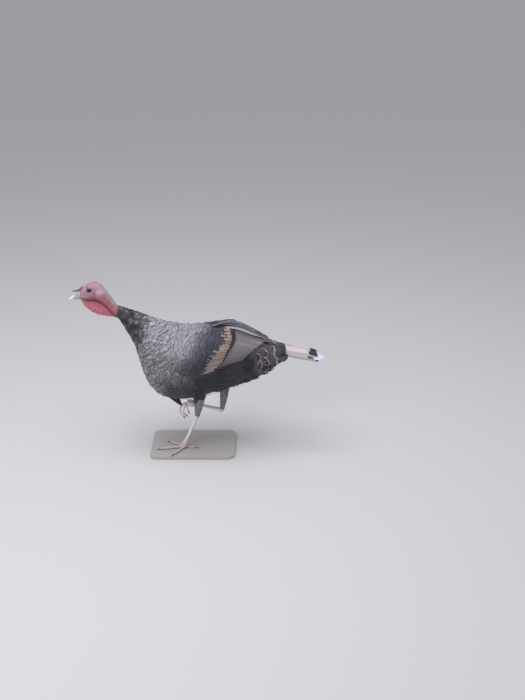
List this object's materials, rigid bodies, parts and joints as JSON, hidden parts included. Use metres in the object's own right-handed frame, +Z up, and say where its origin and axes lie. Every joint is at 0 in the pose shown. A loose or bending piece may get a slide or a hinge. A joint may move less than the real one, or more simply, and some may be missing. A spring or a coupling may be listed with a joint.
{
  "type": "domestic turkey",
  "caption": "Life-size domestic turkey of bronze type, walking with its neck stretched forward and one foot lifted, closed tail, on a plain flat stand.",
  "frame": {"origin": "middle of the whole model's box in X and Y, at the underside of the stand", "axes": "+X to the bird's left, +Y towards the tail, +Z up; the bird faces -Y"},
  "size_m": [0.2304, 0.89, 0.6228],
  "materials": {
    "plumage": "black and lavender-grey feathers with dark edges, faint metallic sheen",
    "flight_feathers": "grey-brown quill feathers with pale edges",
    "tail_feathers": "cream tail feathers with black marks and white tips",
    "bare_skin": "bare wrinkled skin, satin, pink above and red on the throat",
    "bill": "smooth horn, satin",
    "eye": "wet gloss",
    "leg_scales": "scaled skin, satin",
    "claw": "smooth horn",
    "stand": "matt paint"
  },
  "bodies": {
    "root": {"head": "bare_skin", "wattle": "bare_skin", "snood": "bare_skin", "neck": "plumage", "trunk": "plumage", "tail_coverts": "plumage", "wing_left": "plumage", "wing_right": "plumage", "thigh_left": "plumage", "thigh_right": "plumage", "flight_feathers_left": "flight_feathers", "flight_feathers_right": "flight_feathers", "tail": "tail_feathers", "bill_upper": "bill", "bill_lower": "bill", "eye_left": "eye", "eye_right": "eye", "shank_left": "leg_scales", "inner_toe_left": "leg_scales", "inner_toe_claw_left": "claw", "middle_toe_left": "leg_scales", "middle_toe_claw_left": "claw", "outer_toe_left": "leg_scales", "outer_toe_claw_left": "claw", "hind_toe_left": "leg_scales", "hind_toe_claw_left": "claw", "shank_right": "leg_scales", "inner_toe_right": "leg_scales", "inner_toe_claw_right": "claw", "middle_toe_right": "leg_scales", "middle_toe_claw_right": "claw", "outer_toe_right": "leg_scales", "outer_toe_claw_right": "claw", "hind_toe_right": "leg_scales", "hind_toe_claw_right": "claw", "stand_base": "stand"}
  },
  "joints": []
}
